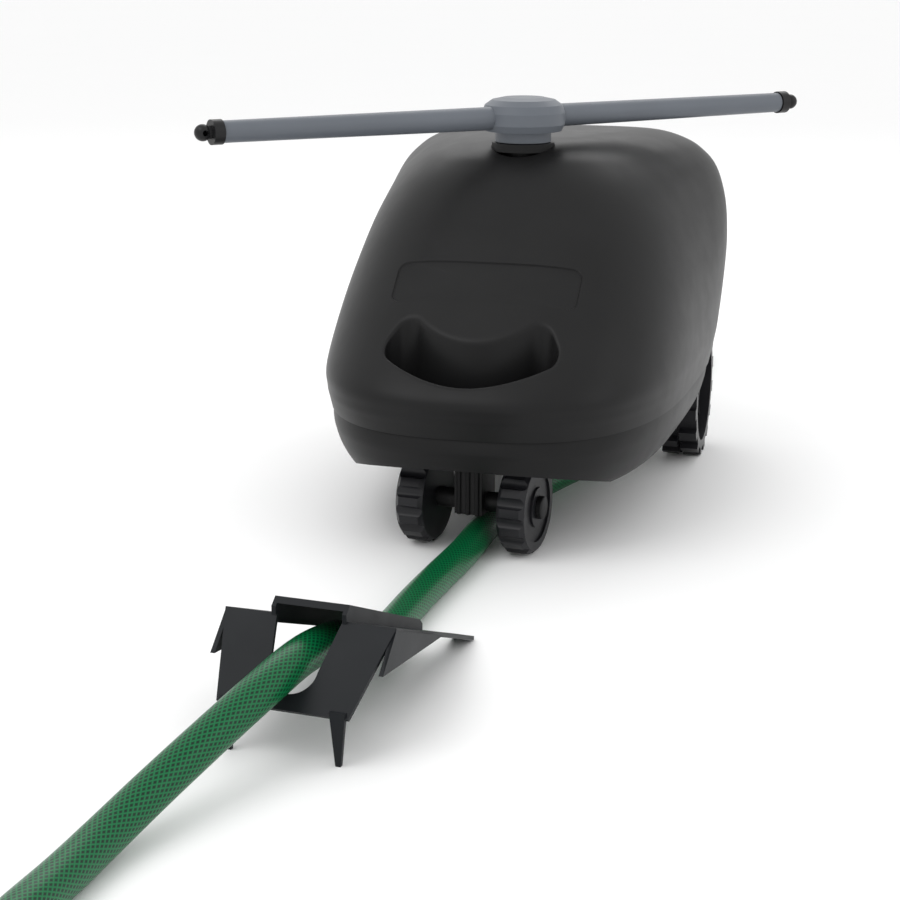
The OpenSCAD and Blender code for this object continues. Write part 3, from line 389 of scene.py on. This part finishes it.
FINISHES = {
    "cover_plastic": moulded("cover_satin", (0.0095, 0.0095, 0.0098), 0.4, shine=0.18),
    # The base is a darker copy of the cover's black plastic: painted shade for the shadowed underside below
    # the seam
    "base_plastic": moulded("base_satin_painted_shade", (0.0085, 0.0085, 0.0088), 0.42, shine=0.18),
    "wheel_plastic": moulded("wheel_black", (0.012, 0.012, 0.014), 0.36, grain=WHEEL_GRAIN_SCALE),
    "inner_plastic": moulded("inner_grey", (0.06, 0.06, 0.062), 0.5),
    "seal_rubber": moulded("seal_black", (0.012, 0.012, 0.012), 0.7),
    "bright_steel": metal("zinc_steel", (0.6, 0.6, 0.61), 0.3),
    "gear_plastic": moulded("acetal", (0.62, 0.58, 0.48), 0.4, vary=0.06),
    "arm_grey": moulded("arm_grey", (0.125, 0.138, 0.158), 0.4, vary=0.1),
    "nozzle_black": moulded("nozzle_black", (0.012, 0.012, 0.013), 0.35),
    "trip_red": moulded("trip_dark", (0.03, 0.03, 0.032), 0.45),
    "rod_brass": metal("brass", (0.7, 0.52, 0.22), 0.3),
    "ramp_plastic": moulded("ramp_slate", (0.011, 0.0125, 0.0145), 0.45, vary=0.15, shine=0.16),
    "coupling_black": moulded("coupling_black", (0.015, 0.015, 0.015), 0.4),
    "hose_green": braided(),
}
SLOTS = {part["node"]: part["material_slot"] for part in frame["record"]["subparts"]}


def dress(obj, slot):
    obj.data.materials.clear()
    obj.data.materials.append(FINISHES[slot])


def dress_solids():
    for node, slot in SLOTS.items():
        dress(nodes[node], slot)


def add_piece(obj, body, slot, *replaced):
    """Finishes a new piece, lets it ride on its body and hides the solids that it stands for."""
    dress(obj, slot)
    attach(obj, body)
    if replaced:
        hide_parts(*replaced)


# Moulded skins

def power_of(s, p):
    """A cosine or sine, squared off by a power."""
    return math.copysign(abs(s) ** (2 / p), s)


def outline(z, nose, tail, wide_nose, wide_tail, inset, power):
    """A level ring of the body, squarer at its tail than at its nose."""
    ring = []
    for cosine, sine in unit_circle(OUTLINE_SIDES):
        p = power if sine < 0 else TAIL_POWER
        c, s = power_of(cosine, p), power_of(sine, p)
        width = wide_nose + (wide_tail - wide_nose) * (s + 1) / 2 - inset
        ring.append((width * c, (nose + tail) / 2 + ((tail - nose) / 2 - inset) * s, z))
    return ring


def cover_rings(inset):
    """Rings from the seam to the crown, then in over its flat top."""
    rings = []
    for h, nose, tail, wide_nose, wide_tail in through(COVER_SHARES, COVER_STEPS):
        power = NOSE_POWER + (CROWN_POWER - NOSE_POWER) * h
        level = SEAM_Z + BODY_H * h - inset * h
        rings.append(outline(level, NOSE_Y + BODY_LEN * nose, TAIL_Y - BODY_LEN * tail, NOSE_HALF * wide_nose,
                             TAIL_HALF * wide_tail, inset, power))
    last = rings[-1]
    middle = sum(y for x, y, z in last) / len(last)
    for share in CROWN_SHARES:
        rings.append([(x * share, middle + (y - middle) * share, z) for x, y, z in last])
    return rings


def base_rings(inset):
    """Rings from the seam down to the bottom edge."""
    _, set_back, _, _, wide_tail = COVER_SHARES[0]
    rings = []
    for depth, share in through(BASE_SHARES, BASE_STEPS):
        nose = NOSE_Y + BODY_LEN * set_back * max(0, 1 - depth / TUCK_SHARE)
        rings.append(outline(SEAM_Z - BASE_H * depth, nose, TAIL_Y, NOSE_HALF, TAIL_HALF * wide_tail,
                             inset + BASE_H * share, NOSE_POWER))
    return rings


def rear_arches():
    """Cutters round the rear wheels that reach out past the body's sides."""
    reach = TAIL_HALF / 2
    middle, half_w = (WHEEL_LOW.x + WHEEL_HIGH.x) / 2, (WHEEL_HIGH.x - WHEEL_LOW.x) / 2
    return [drum_x("arch_cutter", s * (middle + reach / 2), REAR_Y, REAR_R, half_w + WHEEL_CLEAR + reach / 2,
                   REAR_R + WHEEL_CLEAR) for s in (-1, 1)]


def pocket_plan(grow):
    """The kidney outline of the hand pocket, grown by a margin, with round corners."""
    centre = Vector((0, AXLE_Y - POCKET_LIP + POCKET_R))
    r = POCKET_ROUND
    outer, inner = POCKET_R - r, POCKET_R - POCKET_W + r
    end = POCKET_HALF_ANGLE - r / ((outer + inner) / 2)
    plan = []

    def arc(radius, first, last, middle, steps):
        for k in range(steps):
            a = first + (last - first) * k / steps
            plan.append(middle + Vector((math.cos(a), math.sin(a))) * radius)

    quarter = math.pi / 2
    down = -quarter
    corner = [centre + Vector((math.cos(down + s), math.sin(down + s))) * radius
              for s, radius in ((end, outer), (end, inner), (-end, inner), (-end, outer))]
    arc(outer + r + grow, down - end, down + end, centre, LIP_STEPS)
    arc(r + grow, down + end, down + end + quarter, corner[0], CORNER_STEPS)
    arc(r + grow, down + end + quarter, down + end + math.pi, corner[1], CORNER_STEPS)
    arc(inner - r - grow, down + end, down - end, centre, BACK_STEPS)
    arc(r + grow, down - end - math.pi, down - end - quarter, corner[2], CORNER_STEPS)
    arc(r + grow, down - end - quarter, down - end, corner[3], CORNER_STEPS)
    return plan


def inlet_hole():
    """A cutter along Y round the inlet's washer."""
    x, z = (INLET_LOW.x + INLET_HIGH.x) / 2, (INLET_LOW.z + INLET_HIGH.z) / 2
    radius = (INLET_HIGH.x - INLET_LOW.x) / 2 + INLET_GAP
    ring = unit_circle(INLET_SIDES)
    return capped("inlet_cutter", [[(x + radius * c, TAIL_Y + s * BASE_H, z + radius * d) for c, d in ring]
                                   for s in (1, -1)])


def panel_plan():
    """Points round the panel: across, and along the slope. Its long edges have points between the corners."""
    half_w, half_len = PANEL_W / 2 - PANEL_ROUND, PANEL_LEN / 2 - PANEL_ROUND
    plan = []
    for quarter, (sx, sy) in enumerate(((1, 1), (-1, 1), (-1, -1), (1, -1))):
        for k in range(PANEL_CORNER_STEPS + 1):
            a = math.pi / 2 * (quarter + k / PANEL_CORNER_STEPS)
            plan.append((sx * half_w + PANEL_ROUND * math.cos(a), sy * half_len + PANEL_ROUND * math.sin(a)))
        if quarter % 2 == 0:
            x, s = plan[-1]
            plan += [(x * (1 - k / PANEL_EDGE_STEPS), s) for k in range(1, 2 * PANEL_EDGE_STEPS)]
    return plan


def panel_cutter(tree):
    """A shallow plate with round corners that follows the slope of the cover."""
    low, high = COVER_SHARES[SLOPE_LOW], COVER_SHARES[SLOPE_HIGH]
    angle = math.atan2((high[0] - low[0]) * BODY_H, (high[1] - low[1]) * BODY_LEN)
    along = Vector((0, math.cos(angle), math.sin(angle)))
    out = Vector((0, -math.sin(angle), math.cos(angle)))
    y = NOSE_Y + PANEL_Y_SHARE * BODY_LEN
    centre = Vector((0, y, SEAM_Z + low[0] * BODY_H + (y - NOSE_Y - low[1] * BODY_LEN) * math.tan(angle)))
    plan = panel_plan()
    levels = [(-PANEL_DEEP, share) for share in (*PANEL_RING_SHARES, 1)]
    levels += [(0, PANEL_DRAFT), (PANEL_DEEP, 2 * PANEL_DRAFT - 1)]
    levels += [(PANEL_DEEP, share) for share in PANEL_RING_SHARES[::-1]]
    rings = []
    for lift, share in levels:
        shrink, grow = min(share, 1), max(share, 1) - 1
        ring = []
        for x, s in plan:
            across = x * shrink + math.copysign(grow, x) * PANEL_LEN
            up_slope = s * shrink + math.copysign(grow, s) * PANEL_LEN
            start = centre + Vector((across, 0, 0)) + along * up_slope + out * BODY_H
            ring.append(tree.ray_cast(start, -out)[0] + out * lift)
        rings.append(ring)
    return capped("panel_cutter", rings)


def hand_pocket(rim, edge, tops, edges):
    """The pocket's tub: a rolled rim, upright walls and a floor with a round foot."""
    rings = []
    for k in range(RIM_STEPS + 1):
        t = k / RIM_STEPS
        left = (1 - t) ** 2
        rings.append([(p.x + (q.x - p.x) * (1 - left), p.y + (q.y - p.y) * (1 - left),
                       left * z + 2 * t * (1 - t) * w + t * t * (w - RIM))
                      for p, q, z, w in zip(rim, edge, tops, edges)])
    wall_top = rings[-1]
    low = POCKET_FLOOR + RIM
    for t in POCKET_WALL_SHARES:
        rings.append([(x, y, z + (low - z) * t) for x, y, z in wall_top])
    for degrees in POCKET_FOOT_ANGLES:
        a = math.radians(degrees)
        rings.append([(p.x, p.y, low - RIM * math.sin(a)) for p in pocket_plan(-RIM * (1 - math.cos(a)))])
    tub = loft("hand_pocket", rings, cap_last=True)
    smooth(tub, ROUND_SHARP)
    add_piece(tub, "chassis", "cover_plastic")


def cover():
    """The upper skin, with its pocket, panel, socket hole, inlet and rear arches."""
    inner = cover_rings(WALL)
    skin = capped("cover_skin", cover_rings(0))
    hollow = capped("hollow_cutter", [[(x, y, z - WALL) for x, y, z in inner[0]], *inner])
    hub = [(HUB_HOLE_R * c, HUB_Y + HUB_HOLE_R * s) for c, s in unit_circle(ROUND_SIDES)]
    tree = BVHTree.FromObject(skin, bpy.context.evaluated_depsgraph_get())

    def heights(plan):
        return [tree.ray_cast(Vector((p.x, p.y, RAY_Z)), -UP)[0].z for p in plan]

    rim, edge = pocket_plan(RIM), pocket_plan(0)
    tops, edges = heights(rim), heights(edge)
    above = 2 * TOP_Z
    pocket = prism("pocket_cutter", [(p.x, p.y) for p in rim], POCKET_FLOOR - 2 * RIM, above)
    carve(skin, [pocket, panel_cutter(tree), hollow, prism("hub_cutter", hub, SEAM_Z, above), inlet_hole(),
                 *rear_arches()])
    smooth(skin)
    hand_pocket(rim, edge, tops, edges)
    add_piece(skin, "chassis", "cover_plastic", "cover")


def base():
    """The lower skin, with its arches, its mouth in the nose and its raised edge under it."""
    skin = loft("base_skin", base_rings(0) + base_rings(WALL)[::-1], closed=True)
    low, ahead = BASE_Z - 2 * WALL, NOSE_Y - WALL
    turns = [math.pi * k / ARCH_STEPS for k in range(ARCH_STEPS + 1)]
    arch = [(power_of(math.cos(a), ARCH_POWER), low + (ARCH_Z - low) * power_of(math.sin(a), ARCH_POWER))
            for a in turns]

    def front_arch(half, back, front):
        return capped("arch_cutter", [[(x * half, y, z) for x, z in arch] for y in (back, front)])

    room = FRONT_R + WHEEL_CLEAR
    fronts = [front_arch(ARCH_HALF, AXLE_Y + room, AXLE_Y - room), front_arch(MOUTH_HALF, AXLE_Y, ahead)]
    chin_y = AXLE_Y + CHIN_LEN
    chin = [(ahead, low), (chin_y, low), (chin_y, BASE_Z), (ahead, CHIN_Z)]
    under = capped("chin_cutter", [[(x, y, z) for y, z in chin] for x in (-TAIL_HALF, TAIL_HALF)])
    carve(skin, [*fronts, under, inlet_hole(), *rear_arches()])
    smooth(skin)
    add_piece(skin, "chassis", "base_plastic", "base_shell", "tail_panel")


def axle_domes():
    """Round ends over the tips of the front axle."""
    joint = next(j for j in frame["record"]["behaviour"]["joints"] if j["name"] == "right_wheel_roll")
    axis, centre = Vector(joint["axis"]).normalized(), Vector((0, AXLE_Y, FRONT_R))
    across = axis.cross(UP)
    caps = [v.co - centre for v in nodes["axle_caps"].data.vertices]
    face = max(p.dot(axis) for p in caps)
    radius = max((p - axis * p.dot(axis)).length for p in caps if p.dot(axis) > face - FACE_NEAR)
    tip = max((v.co - centre).dot(axis) for v in nodes["front_axle"].data.vertices)
    height = max(tip - face, 0) + DOME_H
    for s, name in ((-1, "left_axle_dome"), (1, "right_axle_dome")):
        rings = []
        for step in range(DOME_RINGS):
            a = math.pi / 2 * step / DOME_CLOSE
            middle = centre + axis * s * (face + height * math.sin(a))
            rings.append([middle + (across * c + UP * s * d) * radius * math.cos(a)
                          for c, d in unit_circle(DOME_SIDES)])
        dome = capped(name, rings)
        smooth(dome, DOME_SHARP)
        add_piece(dome, "steering", SLOTS["axle_caps"])


# Hose

def placed(points):
    return [Vector((x * MM, y * MM + AXLE_Y, z * MM)) for x, y, z in points]


def coil_point(a):
    """A point of the coil, which spirals in on the floor, climbs a layer and spirals out again."""
    whole = 2 * math.pi * COIL_TURNS
    r = COIL_R - COIL_STEP * min(a, whole - a) / (2 * math.pi)
    t = max(0, min(1, (a - (whole - math.pi) / 2) / math.pi))
    return Vector((COIL_X + r * math.cos(a), COIL_Y + AXLE_Y + r * math.sin(a),
                   HOSE_R + COIL_STEP * t * t * (3 - 2 * t)))


def hose():
    """One tube from the inlet's nut, round the coil, under the body and through the ramp to its coupling."""
    turns = [coil_point(2 * math.pi * i / LOOP_RINGS) for i in range(int(LOOP_RINGS * COIL_TURNS) + 1)]
    route = placed(TAIL_MM) + turns[::-1] + placed(RUN_MM)[::-1]
    path = [Vector((x, y, max(z, HOSE_R))) for x, y, z in through([tuple(p) for p in route], ROUTE_STEPS)]
    rings, along = [], [0.0]
    for a, b in zip(path, path[1:]):
        along.append(along[-1] + (b - a).length)
    for i, p in enumerate(path):
        ahead = (path[min(i + 1, len(path) - 1)] - path[max(i - 1, 0)]).normalized()
        side = UP.cross(ahead).normalized()
        over = ahead.cross(side)
        rings.append([p + HOSE_R * (c * side + s * over) for c, s in unit_circle(HOSE_SIDES)])
    tube = capped("garden_hose", rings)
    layer = tube.data.uv_layers.new(name="UVMap")
    for face in tube.data.polygons[:(len(path) - 1) * HOSE_SIDES]:
        ring, k = divmod(face.index, HOSE_SIDES)
        for corner, (du, dv) in zip(face.loop_indices, ((0, 0), (1, 0), (1, 1), (0, 1))):
            layer.data[corner].uv = ((k + du) / HOSE_SIDES, along[ring + dv])
    smooth(tube, ROUND_SHARP)
    add_piece(tube, "chassis", "hose_green", "hose_tail", "hose_coil", "hose_run")


# Softened edges

def soften(names, width):
    for name in names:
        bevel = nodes[name].modifiers.new("soft_edges", "BEVEL")
        bevel.width = width
        bevel.segments = EDGE_SEGMENTS
        bevel.limit_method = "ANGLE"
        bevel.angle_limit = EDGE_ANGLE
        bevel.use_clamp_overlap = True


# Stage, light and camera

def softbox(name, place, size, power):
    light = bpy.data.lights.new(name, "AREA")
    light.shape = "RECTANGLE"
    light.size, light.size_y = size
    light.energy = power
    obj = bpy.data.objects.new(name, light)
    bpy.context.scene.collection.objects.link(obj)
    obj.location = place
    obj.rotation_euler = (Vector(LIGHT_AIM) - Vector(place)).to_track_quat("-Z", "Y").to_euler()


def stage():
    corners = [(x * FLOOR_REACH, y * FLOOR_REACH, 0) for x, y in ((-1, -1), (1, -1), (1, 1), (-1, 1))]
    floor = piece("floor", corners, [(0, 1, 2, 3)])
    pale = Shader("pale_floor", FLOOR_GREY, FLOOR_ROUGH)
    pale.set("Base Color", pale.ramp(pale.noise(FLOOR_SCALE), FLOOR_DARK, FLOOR_LIGHT))
    floor.data.materials.append(pale.material)
    world = bpy.data.worlds.new("studio")
    world.use_nodes = True
    background = world.node_tree.nodes["Background"]
    background.inputs["Color"].default_value = WORLD_WHITE
    background.inputs["Strength"].default_value = WORLD_STRENGTH
    bpy.context.scene.world = world
    for box in SOFTBOXES:
        softbox(*box)
    bpy.context.scene.view_settings.view_transform = "Standard"


def camera():
    lens = bpy.data.cameras.new("camera")
    lens.sensor_width = SENSOR_MM
    lens.lens = LENS_MM
    obj = bpy.data.objects.new("camera", lens)
    bpy.context.scene.collection.objects.link(obj)
    obj.location = (CAMERA_X, AXLE_Y + CAMERA_Y, CAMERA_Z)
    obj.rotation_euler = (CAMERA_TILT, 0, CAMERA_TURN)
    bpy.context.scene.camera = obj


dress_solids()
camera()
hose()
cover()
base()
axle_domes()
soften(["front_wheel_left", "front_wheel_right", "rear_wheel_left", "rear_wheel_right"], WHEEL_EDGE)
soften(["shut_off_ramp", "steering_yoke", "hose_nut", "tap_connector", "trip_lever", "chassis_plate"],
       SOLID_EDGE)
stage()
